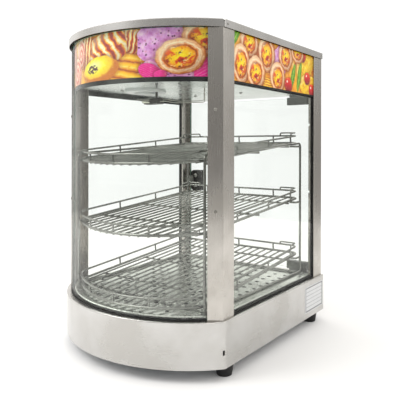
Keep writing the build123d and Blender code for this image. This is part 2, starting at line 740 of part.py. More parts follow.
def hinge_bracket(low, high, depth=6.0):
    """Fixed plate that takes the pivot pin, with its screw holes."""
    plate = block((CLAMP_LEFT + 6, CLAMP_RIGHT), (DOOR_Y - depth, DOOR_Y + depth), (low, high))
    plate = fillet(plate.edges().filter_by(Axis.Z), 2)
    return plate - rod((PIVOT_X, DOOR_Y, low - 5), (PIVOT_X, DOOR_Y, high + 5), PIN_R + PIN_CLEARANCE)


def clamp_screws():
    """Set screws that press each clamp on the glass."""
    for z in (DOOR_BOTTOM + 8.5, DOOR_TOP - 8):
        for x in (CLAMP_LEFT + 10, CLAMP_LEFT + 27):
            head = rod((x, DOOR_Y + CLAMP_DEPTH / 2, z), (x, DOOR_Y + CLAMP_DEPTH / 2 + 1.2, z), 3.2)
            socket = rod((x, DOOR_Y + CLAMP_DEPTH / 2 + 0.4, z), (x, DOOR_Y + CLAMP_DEPTH, z), 1.5)
            yield head - socket


def door_handle():
    """Rounded pull on the outside of the door."""
    low = DOOR_Y + GLASS / 2
    grip = RectangleRounded(36, 55, 9)
    neck = RectangleRounded(26, 45, 7)
    place = Plane(origin=(HANDLE_X, low, HANDLE_Z), x_dir=(-1, 0, 0), z_dir=(0, 1, 0))
    body = place * extrude(grip, 3)
    body += place * Pos(0, 0, 3) * extrude(neck, 8)
    crown = extrude(grip, 10)
    crown = fillet(crown.edges().group_by(Axis.Z)[-1], 5)
    body += place * Pos(0, 0, 11) * crown
    for z in handle_screw_heights():
        body -= rod((HANDLE_X, low - 1, z), (HANDLE_X, low + 9, z), 1.6)
    return body


def handle_screws():
    """Two screws with washers, through the glass into the handle."""
    inner = DOOR_Y - GLASS / 2
    for z in handle_screw_heights():
        screw = pan_screw((HANDLE_X, inner - 1, z), (0, -1, 0), head=4.0, shank=1.6, length=13.5)
        washer = rod((HANDLE_X, inner - 1, z), (HANDLE_X, inner, z), 5.5)
        yield screw + washer


def door_strike():
    """Thin steel plate on the glass that the magnet holds."""
    return block((-178, -168), (DOOR_Y - GLASS / 2 - 1, DOOR_Y - GLASS / 2), (HANDLE_Z - 8, HANDLE_Z + 11))


def door_magnet():
    """Magnetic catch on the rear post, beside the handle."""
    body = block((SHEET - POST_X, -167), (DOOR_Y - 21, DOOR_Y - GLASS / 2 - 1.4), (HANDLE_Z - 10, HANDLE_Z + 13))
    return fillet(body.edges().filter_by(Axis.Z).sort_by(Axis.X)[-2:], 2)


# ---------------------------------------------------------------- controls

def thermostat_body():
    """Capillary thermostat behind the panel, with its threaded bush."""
    rear = PANEL_INNER
    case = block((KNOB_X - 17, KNOB_X + 17), (rear - 28, rear), (CONTROL_Z - 15, CONTROL_Z + 15))
    case = fillet(case.edges().filter_by(Axis.Y), 3)
    case += rod((KNOB_X, rear - 1, CONTROL_Z), (KNOB_X, REAR_Y + 3, CONTROL_Z), 5.0)
    for z in (CONTROL_Z - 8, CONTROL_Z + 8):
        case += block((KNOB_X - 4, KNOB_X + 4), (rear - 36, rear - 28), (z - 0.5, z + 0.5))
    return case - rod((KNOB_X, rear - 12, CONTROL_Z), (KNOB_X, REAR_Y + 9, CONTROL_Z), SHAFT_R + PIN_CLEARANCE)


def thermostat_shaft():
    """Shaft between the thermostat and its knob."""
    return rod((KNOB_X, PANEL_INNER - 11, CONTROL_Z), (KNOB_X, REAR_Y + 16, CONTROL_Z), SHAFT_R)


def thermostat_knob():
    """Round knob with a grip bar and a pointer groove."""
    gap = 1.0
    place = Plane(origin=(KNOB_X, REAR_Y + gap, CONTROL_Z), x_dir=(-1, 0, 0), z_dir=(0, 1, 0))
    skirt = Cone(KNOB_R, KNOB_R - 2, 8, align=(Align.CENTER, Align.CENTER, Align.MIN))
    bar = Pos(0, 0, 7) * extrude(RectangleRounded(9, 2 * KNOB_R - 6, 3), KNOB_PROUD - gap - 7)
    bar = fillet(bar.edges().group_by(Axis.Z)[-1], 1.5)
    knob = skirt + bar
    knob -= Pos(0, KNOB_R - 8, KNOB_PROUD - gap) * Box(1.4, 8, 1.6)
    for index in range(24):
        angle = radians(15 * index)
        knob -= Pos((KNOB_R + 0.3) * cos(angle), (KNOB_R + 0.3) * sin(angle), 3.5) * Cylinder(0.9, 9)
    knob -= Pos(0, 0, 0) * Cylinder(6.2, 7)
    return place * knob - rod((KNOB_X, REAR_Y - 5, CONTROL_Z), (KNOB_X, REAR_Y + 16, CONTROL_Z), SHAFT_R)


def thermostat_sensor():
    """Sensing bulb in the well and the capillary that joins it to the thermostat."""
    bulb = rod((SENSOR_X[0], SENSOR_Y, SENSOR_Z), (SENSOR_X[1], SENSOR_Y, SENSOR_Z), 3.0)
    bend_y = WELL_REAR + 22
    route = [(SENSOR_X[1] - 1, SENSOR_Y, SENSOR_Z), (SENSOR_TURN_X, SENSOR_Y, SENSOR_Z),
             (SENSOR_TURN_X, bend_y, SENSOR_Z), (KNOB_X, bend_y, CONTROL_Z),
             (KNOB_X, PANEL_INNER - 28, CONTROL_Z)]
    return bulb + bent_wire(route, 6, 0.9)


def switch_housing(x):
    """Frame and body of a rocker switch."""
    half_w = SWITCH_W / 2
    half_h = SWITCH_H / 2
    bezel = block((x - half_w, x + half_w), (REAR_Y, REAR_Y + 2), (CONTROL_Z - half_h, CONTROL_Z + half_h))
    bezel = fillet(bezel.edges().filter_by(Axis.Y), 1.5)
    body = block((x - half_w + 1, x + half_w - 1), (REAR_Y - 16, REAR_Y), (CONTROL_Z - half_h + 1, CONTROL_Z + half_h - 1))
    body += bezel
    body -= block((x - 5.2, x + 5.2), (REAR_Y - 9, REAR_Y + 9), (CONTROL_Z - 8.9, CONTROL_Z + 8.9))
    body -= rod((x - 6.1, REAR_Y - 2, CONTROL_Z), (x + 6.1, REAR_Y - 2, CONTROL_Z), TRUNNION_R + PIN_CLEARANCE)
    for z in (-5, 5):
        body += block((x - 2.4, x + 2.4), (REAR_Y - 24, REAR_Y - 16), (CONTROL_Z + z - 0.4, CONTROL_Z + z + 0.4))
    return body


def switch_rocker(x):
    """Rocker with its trunnions, lying in the off position."""
    face = [(-8.1, 3.4), (0, 2.0), (8.1, 3.4)]
    back = [(7.6, -1.5), (2.5, -5.5), (-2.5, -5.5), (-7.6, -1.5)]
    profile = Polyline(*face, *back, close=True)
    place = Plane(origin=(x, REAR_Y - 2, CONTROL_Z), x_dir=(0, 0, 1), z_dir=(-1, 0, 0))
    rocker = extrude(make_face(profile), 4.9, both=True)
    rocker += Cylinder(TRUNNION_R, 12.0)
    return place * (Rot(0, 0, SWITCH_TILT) * rocker)


def indicator_lamps():
    """Two domed indicator lenses, each in its own hole."""
    for x in LAMP_X:
        lens = rod((x, REAR_Y - 10, CONTROL_Z), (x, REAR_Y, CONTROL_Z), 4.0)
        lens += rod((x, REAR_Y, CONTROL_Z), (x, REAR_Y + 1.5, CONTROL_Z), 5.5)
        dome = Pos(x, REAR_Y + 1.5, CONTROL_Z) * Sphere(3.8)
        dome &= block((x - 9, x + 9), (REAR_Y + 1.5, REAR_Y + 9), (CONTROL_Z - 9, CONTROL_Z + 9))
        yield lens + dome


def cord_gland():
    """Gland for the mains cord, with its nut inside the panel."""
    def ring_part(start, end, radius):
        return rod((GLAND_X, start, GLAND_Z), (GLAND_X, end, GLAND_Z), radius)
    def hexagon(start, end, across):
        place = Plane(origin=(GLAND_X, start, GLAND_Z), z_dir=(0, 1, 0))
        return place * extrude(RegularPolygon(across / sqrt(3), 6), end - start)
    gland = ring_part(PANEL_INNER - 6, REAR_Y + 5, 8.0)
    gland += hexagon(PANEL_INNER - 5, PANEL_INNER, 22)
    gland += hexagon(REAR_Y, REAR_Y + 6, 20)
    cap = ring_part(REAR_Y + 6, REAR_Y + 17, 8.8)
    gland += fillet(cap.edges().group_by(Axis.Y)[-1], 3)
    return gland - ring_part(PANEL_INNER - 20, REAR_Y + 30, CORD_R)


def panel_screws():
    """Screws of the control panel and the ceiling."""
    for x, z in panel_screw_places():
        yield pan_screw((x, REAR_Y, z), (0, 1, 0), head=3.6, shank=2.0, length=6)
    for x, y in ceiling_screw_places():
        yield pan_screw((x, y, CEILING_Z), (0, 0, -1), head=3.6, shank=2.0, length=6)


def rating_label():
    """Blank rating label on the right side of the base, at the rear."""
    return block((HALF_W, HALF_W + 0.2), (REAR_Y - 97, REAR_Y - 4), (FOOT_H + 12, FOOT_H + 68))


# ---------------------------------------------------------------- assembly

def add_base():
    keep("base_shell", base_shell())
    keep("base_bottom_plate", base_bottom_plate())
    keep("base_rear_panel", base_rear_panel())
    keep("inner_well", inner_well())
    keep("heating_element", heating_element())
    keep("heater_supports", *heater_bushes(), *heater_clips())
    keep("water_pan", water_pan())
    keep("floor_cover", floor_cover())
    for side, x in (("left", -FOOT_X), ("right", FOOT_X)):
        for end, y in zip(("front", "rear"), FOOT_Y):
            keep(f"foot_{end}_{side}", foot(x, y))
    keep("case_screws", *foot_screws(), *panel_screws())
    keep("rating_label", rating_label())


def add_cabinet():
    paired = (("front_post", front_post()), ("rear_post", rear_post()),
              ("side_glass", side_glass()), ("side_sign", sign_side()))
    for name, shape in paired:
        right, left = both_sides(shape)
        keep(f"{name}_right", right)
        keep(f"{name}_left", left)
    keep("side_glass_gaskets", *both_sides(side_gasket()))
    keep("curved_glass", curved_glass())
    keep("curved_glass_gasket", curved_gasket())
    keep("front_sign", sign_front())
    keep("ceiling_pan", ceiling_pan())
    keep("canopy_rear_panel", canopy_rear_panel())
    keep("cap_lid", cap_lid())
    keep("rivets", *rivets())


def add_light():
    keep("lamp_base", lamp_base())
    keep("lamp_holder", lamp_holder())
    keep("lamp_capsule", lamp_capsule())
    keep("lamp_guard", *lamp_guard())
    keep("lamp_wires", *lamp_wires())


def add_shelves():
    keep("rack_frame", rack_frame())
    grid = shelf_grid()
    rail = shelf_rail()
    for level, name in enumerate(("lower", "middle", "upper")):
        keep(f"shelf_{name}_grid", place_shelf(grid, level))
        keep(f"shelf_{name}_rail", place_shelf(rail, level))


def add_door():
    keep("door_glass", door_glass())
    keep("hinge_clamp_lower", hinge_clamp(106, 125, 100, 113, DOOR_BOTTOM, 140))
    keep("hinge_clamp_upper", hinge_clamp(493, 510.5, 502, 520, 480, DOOR_TOP))
    keep("hinge_brackets", hinge_bracket(BASE_TOP, 105.2), hinge_bracket(511.3, CEILING_Z))
    lower_pin = rod((PIVOT_X, DOOR_Y, BASE_TOP + 0.5), (PIVOT_X, DOOR_Y, DOOR_BOTTOM), PIN_R)
    upper_pin = rod((PIVOT_X, DOOR_Y, DOOR_TOP), (PIVOT_X, DOOR_Y, CEILING_Z - 0.5), PIN_R)
    keep("hinge_pins", lower_pin, upper_pin)
    keep("door_handle", door_handle())
    keep("door_screws", *clamp_screws(), *handle_screws())
    keep("door_strike", door_strike())
    keep("door_magnet", door_magnet())


def add_controls():
    keep("thermostat_body", thermostat_body())
    keep("thermostat_shaft", thermostat_shaft())
    keep("thermostat_knob", thermostat_knob())
    keep("thermostat_sensor", thermostat_sensor())
    keep("switch_housings", *[switch_housing(x) for x in SWITCH_X])
    for name, x in zip(("heat", "light"), SWITCH_X):
        keep(f"{name}_switch_rocker", switch_rocker(x))
    keep("indicator_lamps", *indicator_lamps())
    keep("cord_gland", cord_gland())


def build():
    add_base()
    add_cabinet()
    add_light()
    add_shelves()
    add_door()
    add_controls()
    os.makedirs("parts", exist_ok=True)
    for name, shape in PARTS.items():
        export_step(shape, f"parts/{name}.step")


build()
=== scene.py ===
from math import cos, pi, radians, sin

import bmesh
import bpy
from mathutils import Matrix, Vector


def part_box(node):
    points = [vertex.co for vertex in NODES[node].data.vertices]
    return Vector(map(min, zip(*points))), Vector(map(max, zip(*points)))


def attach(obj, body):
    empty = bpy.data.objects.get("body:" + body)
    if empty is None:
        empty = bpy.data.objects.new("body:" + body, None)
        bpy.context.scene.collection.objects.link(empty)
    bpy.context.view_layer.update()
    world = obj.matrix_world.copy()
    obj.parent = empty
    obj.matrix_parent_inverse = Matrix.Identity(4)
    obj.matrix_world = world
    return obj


# Looks of a countertop hot food display case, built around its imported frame.
# Metres, in the frame's own axes: the customer's side faces -Y, the door and the controls face +Y.

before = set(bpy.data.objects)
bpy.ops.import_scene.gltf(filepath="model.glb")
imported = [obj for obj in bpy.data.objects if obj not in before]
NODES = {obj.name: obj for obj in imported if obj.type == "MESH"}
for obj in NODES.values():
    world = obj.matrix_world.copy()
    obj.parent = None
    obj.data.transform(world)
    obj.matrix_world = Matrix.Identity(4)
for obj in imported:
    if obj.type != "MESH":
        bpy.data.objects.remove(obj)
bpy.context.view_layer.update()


# ---------------------------------------------------------------- small helpers

def rgb(red, green, blue):
    """A screen colour, 0 to 255, as linear light."""
    linear = []
    for part in (red / 255, green / 255, blue / 255):
        linear.append(part / 12.92 if part <= 0.04045 else ((part + 0.055) / 1.055) ** 2.4)
    return (*linear, 1.0)


class Graph:
    """Short names for building one node tree."""

    def __init__(self, tree):
        self.tree = tree

    def add(self, kind, **settings):
        node = self.tree.nodes.new("ShaderNode" + kind)
        for key, value in settings.items():
            setattr(node, key, value)
        return node

    def put(self, socket, value):
        if isinstance(value, bpy.types.NodeSocket):
            self.tree.links.new(value, socket)
        elif value is not None:
            socket.default_value = value

    def place(self):
        return self.add("TexCoord").outputs["Object"]

    def split(self, vector):
        node = self.add("SeparateXYZ")
        self.put(node.inputs[0], vector)
        return node.outputs

    def join(self, x, y, z=0.0):
        node = self.add("CombineXYZ")
        for socket, value in zip(node.inputs, (x, y, z)):
            self.put(socket, value)
        return node.outputs[0]

    def math(self, operation, a, b=None, c=None, clamp=False):
        node = self.add("Math", operation=operation, use_clamp=clamp)
        for socket, value in zip(node.inputs, (a, b, c)):
            self.put(socket, value)
        return node.outputs[0]

    def vector(self, operation, a, b=None, scale=None):
        node = self.add("VectorMath", operation=operation)
        self.put(node.inputs[0], a)
        self.put(node.inputs[1], b)
        if scale is not None:
            node.inputs["Scale"].default_value = scale
        return node.outputs["Value" if operation in ("LENGTH", "DOT_PRODUCT") else "Vector"]

    def stretch(self, vector, sizes):
        return self.vector("MULTIPLY", vector, sizes)

    def noise(self, place, scale, detail=2.0, rough=0.5, output="Fac"):
        node = self.add("TexNoise")
        self.put(node.inputs["Vector"], place)
        node.inputs["Scale"].default_value = scale
        node.inputs["Detail"].default_value = detail
        node.inputs["Roughness"].default_value = rough
        return node.outputs[output]

    def cells(self, place, scale, feature="F1", jitter=1.0):
        node = self.add("TexVoronoi", feature=feature)
        self.put(node.inputs["Vector"], place)
        node.inputs["Scale"].default_value = scale
        node.inputs["Randomness"].default_value = jitter
        return node.outputs["Distance"]

    def spread(self, value, low, high, start=0.0, end=1.0):
        """Goes smoothly from start to end as value goes from low to high."""
        node = self.add("MapRange", interpolation_type="SMOOTHSTEP")
        for socket, setting in zip(node.inputs, (value, low, high, start, end)):
            self.put(socket, setting)
        return node.outputs[0]

    def ramp(self, value, stops, mode="LINEAR"):
        node = self.add("ValToRGB")
        node.color_ramp.interpolation = mode
        elements = node.color_ramp.elements
        while len(elements) < len(stops):
            elements.new(0.5)
        for element, (position, colour) in zip(elements, stops):
            element.position = position
            element.color = colour
        self.put(node.inputs[0], value)
        return node.outputs[0]

    def blend(self, factor, a, b, mode="MIX"):
        node = self.add("Mix", data_type="RGBA", blend_type=mode)
        self.put(node.inputs[0], factor)
        self.put(node.inputs[6], a)
        self.put(node.inputs[7], b)
        return node.outputs[2]

    def bump(self, height, strength, distance):
        node = self.add("Bump")
        node.inputs["Strength"].default_value = strength
        node.inputs["Distance"].default_value = distance
        self.put(node.inputs["Height"], height)
        return node.outputs[0]

    def mix_shader(self, factor, a, b):
        node = self.add("MixShader")
        for socket, value in zip(node.inputs, (factor, a, b)):
            self.put(socket, value)
        return node.outputs[0]


def new_material(name, **uniform):
    """A material with one Principled shader, whose uniform values are set on its own sockets."""
    material = bpy.data.materials.new(name)
    material.use_nodes = True
    material.node_tree.nodes.clear()
    graph = Graph(material.node_tree)
    shader = graph.add("BsdfPrincipled")
    for key, value in uniform.items():
        shader.inputs[key.replace("_", " ")].default_value = value
    output = graph.add("OutputMaterial")
    graph.put(output.inputs[0], shader.outputs[0])
    return material, graph, shader, output


# ---------------------------------------------------------------- materials

ALONG_SHEET = (7.0, 7.0, 900.0)
UP_SHEET = (900.0, 900.0, 7.0)
EVEN_GRAIN = (320.0, 320.0, 320.0)


def metal(name, tint, shade, roughness, grain=EVEN_GRAIN, relief=0.05, smudge=0.1, streak=0.3):
    """Brushed or plated metal: fine grain, faint cloudy handling marks and thin scratches."""
    material, g, shader, _ = new_material(name, Metallic=1.0)
    place = g.place()
    grain_lines = g.noise(g.stretch(place, grain), 1.0, 4.0, 0.6)
    clouds = g.noise(place, 11.0, 3.0, 0.55)
    marks = g.spread(g.noise(g.stretch(place, (35.0, 35.0, 80.0)), 1.0, 5.0, 0.7), 0.62, 0.78)
    tone = g.blend(g.spread(clouds, 0.35, 0.7), tint, shade)
    tone = g.blend(g.math("MULTIPLY", grain_lines, streak), tone, shade)
    g.put(shader.inputs["Base Color"], tone)
    rough = g.math("MULTIPLY_ADD", grain_lines, 0.12, roughness - 0.06)
    rough = g.math("MULTIPLY_ADD", g.spread(clouds, 0.3, 0.75), smudge, rough)
    rough = g.math("MULTIPLY_ADD", marks, 0.08, rough, clamp=True)
    g.put(shader.inputs["Roughness"], rough)
    g.put(shader.inputs["Normal"], g.bump(grain_lines, relief, 0.0004))
    return material


def plastic(name, tint, shade, roughness, scale=900.0, relief=0.15, wear=0.12, **uniform):
    """Moulded plastic or rubber: fine texture, dusty patches and small colour changes."""
    material, g, shader, _ = new_material(name, **uniform)
    place = g.place()
    pores = g.noise(place, scale, 3.0, 0.6)
    clouds = g.noise(place, 22.0, 4.0, 0.6)
    tone = g.blend(g.spread(clouds, 0.35, 0.72), tint, shade)
    tone = g.blend(g.math("MULTIPLY", pores, 0.3), tone, shade)
    g.put(shader.inputs["Base Color"], tone)
    rough = g.math("MULTIPLY_ADD", g.spread(clouds, 0.3, 0.7), wear, roughness, clamp=True)
    g.put(shader.inputs["Roughness"], rough)
    g.put(shader.inputs["Normal"], g.bump(pores, relief, 0.0003))
    return material


# The bent front is an arc about an upright line this far behind its foremost point.
ARC_DEPTH = 0.25803
ARC_CENTRE_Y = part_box("front_sign")[0].y + ARC_DEPTH


def across_pane(g, kind):
    """How far a surface's own normal is across the pane: 1 on its faces, 0 on its edges."""
    normal = g.add("TexCoord").outputs["Normal"]
    if kind == "arc":
        place = g.split(g.place())
        radial = g.join(place[0], g.math("SUBTRACT", place[1], ARC_CENTRE_Y), 0.0)
        across = g.vector("DOT_PRODUCT", g.vector("NORMALIZE", radial), normal)
        return g.math("ABSOLUTE", across)
    return g.math("ABSOLUTE", g.split(normal)[{"x": 0, "y": 1}[kind]])


GLASS_ROUGHNESS = 0.02
# Facing values over which the see-through tint darkens to painted shade at the glass's outline.
PAINTED_OUTLINE_SHADE = (0.95, 0.995)


def pane(name, kind, tint, edge_tint):
    """Clear sheet glass: gloss that grows at grazing angles, painted shade along its outline where it is
    seen edge-on, a trace of dust and greenish ground edges.
    """
    material, g, shader, output = new_material(name, Roughness=0.25, IOR=1.5)
    place = g.place()
    facing = g.add("LayerWeight").outputs["Facing"]
    gloss_part = g.math("MULTIPLY_ADD", g.math("POWER", facing, 6.0), 0.5, 0.04)
    smears = g.noise(g.stretch(place, (9.0, 9.0, 5.0)), 1.0, 5.0, 0.65)
    clear = g.add("BsdfTransparent")
    # Painted shade: the see-through tint turns dark grey where the glass is seen edge-on.
    g.put(clear.inputs[0], g.blend(g.spread(facing, *PAINTED_OUTLINE_SHADE), tint, rgb(60, 66, 62)))
    gloss = g.add("BsdfGlossy")
    g.put(gloss.inputs["Roughness"], g.math("MULTIPLY_ADD", smears, 0.05, GLASS_ROUGHNESS))
    dust = g.add("BsdfDiffuse")
    dust.inputs[0].default_value = rgb(235, 240, 238)
    sheet = g.mix_shader(gloss_part, clear.outputs[0], gloss.outputs[0])
    sheet = g.mix_shader(g.spread(smears, 0.5, 0.8, 0.0, 0.012), sheet, dust.outputs[0])
    ground = g.noise(place, 600.0, 2.0)
    g.put(shader.inputs["Base Color"], g.blend(ground, edge_tint, rgb(150, 190, 175)))
    shader.inputs["Alpha"].default_value = 0.75
    edge = g.spread(across_pane(g, kind), 0.6, 0.3)
    g.put(output.inputs[0], g.mix_shader(edge, sheet, shader.outputs[0]))
    return material


# ---------------------------------------------------------------- printed signs
# The signs are printed with pastries. Each motif is a node group drawn on a disc of radius 1.

def motif(name, paint, edge=(1.0, 0.97), shadow=1.28):
    """A group with the motif's colour, where it covers, and where it throws a soft shadow."""
    tree = bpy.data.node_groups.new(name, "ShaderNodeTree")
    tree.interface.new_socket("Spot", in_out="INPUT", socket_type="NodeSocketVector")
    tree.interface.new_socket("Colour", in_out="OUTPUT", socket_type="NodeSocketColor")
    tree.interface.new_socket("Cover", in_out="OUTPUT", socket_type="NodeSocketFloat")
    tree.interface.new_socket("Shadow", in_out="OUTPUT", socket_type="NodeSocketFloat")
    g = Graph(tree)
    spot = tree.nodes.new("NodeGroupInput").outputs[0]
    x, y, _ = g.split(spot)
    radius = g.vector("LENGTH", g.join(x, y))
    angle = g.math("ARCTAN2", y, x)
    colour, rim = paint(g, spot, x, y, radius, angle)
    output = tree.nodes.new("NodeGroupOutput")
    g.put(output.inputs[0], colour)
    g.put(output.inputs[1], g.spread(rim, *edge))
    g.put(output.inputs[2], g.spread(rim, shadow, 0.9))
    return tree


def wavy(g, radius, angle, waves, depth):
    """The radius with a wavy edge: waves of them round the disc, depth as a share of the radius."""
    wave = g.math("SINE", g.math("MULTIPLY", angle, waves))
    return g.math("MULTIPLY", radius, g.math("MULTIPLY_ADD", wave, depth, 1.0))


def lit(g, colour, x, y, amount=0.5):
    """Lightens the upper left of a motif and darkens its lower right."""
    slope = g.math("MULTIPLY_ADD", x, -0.35, g.math("MULTIPLY", y, 0.5))
    light = g.blend(g.spread(slope, 0.05, 0.6, 0.0, amount), colour, rgb(255, 246, 214))
    return g.blend(g.spread(slope, -0.05, -0.6, 0.0, amount), light, rgb(120, 50, 20), "MULTIPLY")


# Where each tone of baked custard lies: shift of the noise, its scale, its threshold, and the tone.
CUSTARD_PATCHES = [
    ((0.0, 0.0, 0.0), 1.7, 0.5, rgb(226, 70, 14)),
    ((7.3, 2.1, 0.0), 2.3, 0.56, rgb(150, 18, 16)),
    ((4.1, 5.2, 0.0), 3.6, 0.6, rgb(92, 10, 30)),
    ((1.3, 9.1, 0.0), 3.2, 0.58, rgb(255, 250, 190)),
]


def paint_tart(g, spot, x, y, radius, angle):
    rim = wavy(g, radius, angle, 11.0, 0.012)
    uneven = g.math("MULTIPLY_ADD", g.noise(spot, 2.2, 4.0, 0.6), 0.2, g.math("SUBTRACT", rim, 0.1))
    crust = g.ramp(uneven, [(0.0, rgb(255, 236, 96)), (0.4, rgb(255, 206, 40)), (0.56, rgb(240, 150, 24)),
                            (0.63, rgb(150, 44, 12)), (0.68, rgb(226, 140, 84)), (0.75, rgb(255, 236, 204)),
                            (0.86, rgb(250, 206, 160)), (0.94, rgb(214, 138, 92)), (1.0, rgb(140, 62, 34))])
    rings = g.math("MULTIPLY", radius, 52.0)
    layers = g.math("SINE", g.math("MULTIPLY_ADD", g.noise(spot, 3.4, 3.0), 14.0, rings))
    folds = g.math("MULTIPLY", g.spread(rim, 0.66, 0.78), g.spread(layers, 0.0, 1.0, 0.0, 0.42))
    crust = g.blend(folds, crust, rgb(196, 96, 58))
    inside = g.spread(rim, 0.66, 0.58)
    for shift, scale, low, tone in CUSTARD_PATCHES:
        patch = g.spread(g.noise(g.vector("ADD", spot, shift), scale, 3.0, 0.6), low, low + 0.09)
        crust = g.blend(g.math("MULTIPLY", inside, patch), crust, tone)
    return lit(g, crust, x, y, 0.45), rim


def paint_roll(g, spot, x, y, radius, angle):
    turn = g.math("FRACT", g.math("MULTIPLY_ADD", radius, 2.4, g.math("DIVIDE", angle, 2 * pi)))
    colour = g.ramp(turn, [(0.0, rgb(214, 92, 74)), (0.18, rgb(244, 176, 150)), (0.5, rgb(252, 226, 208)),
                           (0.82, rgb(230, 128, 108)), (1.0, rgb(190, 60, 50))])
    return lit(g, colour, x, y, 0.45), radius


def paint_bun(g, spot, x, y, radius, angle):
    high = g.vector("LENGTH", g.join(g.math("ADD", x, 0.2), g.math("SUBTRACT", y, 0.35)))
    colour = g.ramp(high, [(0.0, rgb(255, 255, 190)), (0.5, rgb(255, 240, 110)), (0.85, rgb(250, 206, 70)),
                           (1.25, rgb(206, 120, 30))])
    seed_spot = g.vector("LENGTH", g.join(g.math("ADD", x, 0.35), g.math("SUBTRACT", y, 0.1)))
    flecks = g.spread(g.noise(spot, 6.0, 2.0), 0.42, 0.5)
    seeds = g.math("MULTIPLY", g.spread(seed_spot, 0.36, 0.28), flecks)
    return g.blend(seeds, colour, rgb(70, 26, 34)), radius


def paint_fan(g, spot, x, y, radius, angle):
    bend = g.math("MULTIPLY_ADD", g.math("SINE", g.math("MULTIPLY", y, 2.2)), 0.2, x)
    wave = g.math("MULTIPLY_ADD", g.noise(spot, 2.4, 3.0), 5.0, g.math("MULTIPLY", bend, 15.0))
    strips = g.spread(g.math("SINE", wave), -1.0, 1.0)
    colour = g.ramp(strips, [(0.0, rgb(160, 30, 14)), (0.22, rgb(236, 96, 30)), (0.55, rgb(255, 178, 54)),
                             (0.85, rgb(255, 232, 140)), (1.0, rgb(255, 250, 214))])
    flecks = g.spread(g.noise(spot, 5.0, 4.0, 0.65), 0.56, 0.66)
    colour = g.blend(g.math("MULTIPLY", flecks, 0.7), colour, rgb(196, 40, 30))
    box_x = g.math("POWER", g.math("ABSOLUTE", x), 4.0)
    box_y = g.math("POWER", g.math("ABSOLUTE", y), 4.0)
    return lit(g, colour, x, y, 0.35), g.math("POWER", g.math("ADD", box_x, box_y), 0.25)


def paint_wafer(g, spot, x, y, radius, angle):
    bars = g.math("FRACT", g.math("MULTIPLY_ADD", x, 0.35, g.math("MULTIPLY", y, 2.6)))
    colour = g.ramp(bars, [(0.0, rgb(140, 50, 26)), (0.14, rgb(230, 140, 46)), (0.4, rgb(255, 226, 130)),
                           (0.75, rgb(255, 200, 84)), (1.0, rgb(196, 92, 34))])
    box_x = g.math("POWER", g.math("ABSOLUTE", x), 6.0)
    box_y = g.math("POWER", g.math("ABSOLUTE", y), 6.0)
    return colour, g.math("POWER", g.math("ADD", box_x, box_y), 0.166)


def paint_cake(g, spot, x, y, radius, angle):
    colour = g.ramp(g.noise(spot, 3.2, 4.0, 0.6), [(0.3, rgb(196, 110, 190)), (0.5, rgb(228, 176, 226)),
                                                   (0.7, rgb(252, 226, 244))])
    dots = g.spread(g.cells(spot, 6.5), 0.3, 0.2)
    return g.blend(dots, colour, rgb(92, 30, 84)), wavy(g, radius, angle, 7.0, 0.05)


def paint_petal(g, spot, x, y, radius, angle):
    veins = g.math("SINE", g.math("MULTIPLY", y, 26.0))
    colour = g.ramp(x, [(0.0, rgb(236, 96, 164)), (0.5, rgb(206, 40, 118)), (1.0, rgb(150, 20, 84))])
    return g.blend(g.spread(veins, 0.4, 1.0, 0.0, 0.3), colour, rgb(252, 190, 220)), radius


def paint_leaf(g, spot, x, y, radius, angle):
    rib = g.spread(g.math("ABSOLUTE", y), 0.0, 0.12, 1.0, 0.0)
    colour = g.ramp(g.noise(spot, 3.0, 3.0), [(0.3, rgb(54, 118, 34)), (0.7, rgb(132, 190, 62))])
    pinch = g.math("MULTIPLY_ADD", g.math("MULTIPLY", x, x), 0.5, g.math("ABSOLUTE", y))
    outline = g.math("MAXIMUM", g.math("ABSOLUTE", x), g.math("MULTIPLY", pinch, 1.3))
    return g.blend(rib, colour, rgb(196, 226, 120)), outline


def paint_berry(g, spot, x, y, radius, angle):
    colour = g.ramp(g.math("MULTIPLY_ADD", y, 0.5, 0.5), [(0.0, rgb(110, 8, 20)), (0.55, rgb(206, 30, 34)),
                                                         (1.0, rgb(246, 110, 84))])
    glint = g.vector("LENGTH", g.join(g.math("ADD", x, 0.3), g.math("SUBTRACT", y, 0.4)))
    return g.blend(g.spread(glint, 0.25, 0.1), colour, rgb(255, 236, 226)), radius


def paint_fruit(g, spot, x, y, radius, angle):
    colour = g.ramp(g.noise(spot, 2.8, 4.0, 0.65), [(0.32, rgb(214, 140, 20)), (0.5, rgb(250, 206, 50)),
                                                    (0.68, rgb(255, 240, 140))])
    return lit(g, colour, x, y, 0.4), wavy(g, radius, angle, 5.0, 0.06)


MOTIFS = {
    "tart": motif("print_tart", paint_tart),
    "roll": motif("print_roll", paint_roll),
    "bun": motif("print_bun", paint_bun),
    "fan": motif("print_fan", paint_fan),
    "wafer": motif("print_wafer", paint_wafer),
    "cake": motif("print_cake", paint_cake),
    "petal": motif("print_petal", paint_petal),
    "leaf": motif("print_leaf", paint_leaf),
    "berry": motif("print_berry", paint_berry),
    "fruit": motif("print_fruit", paint_fruit),
}

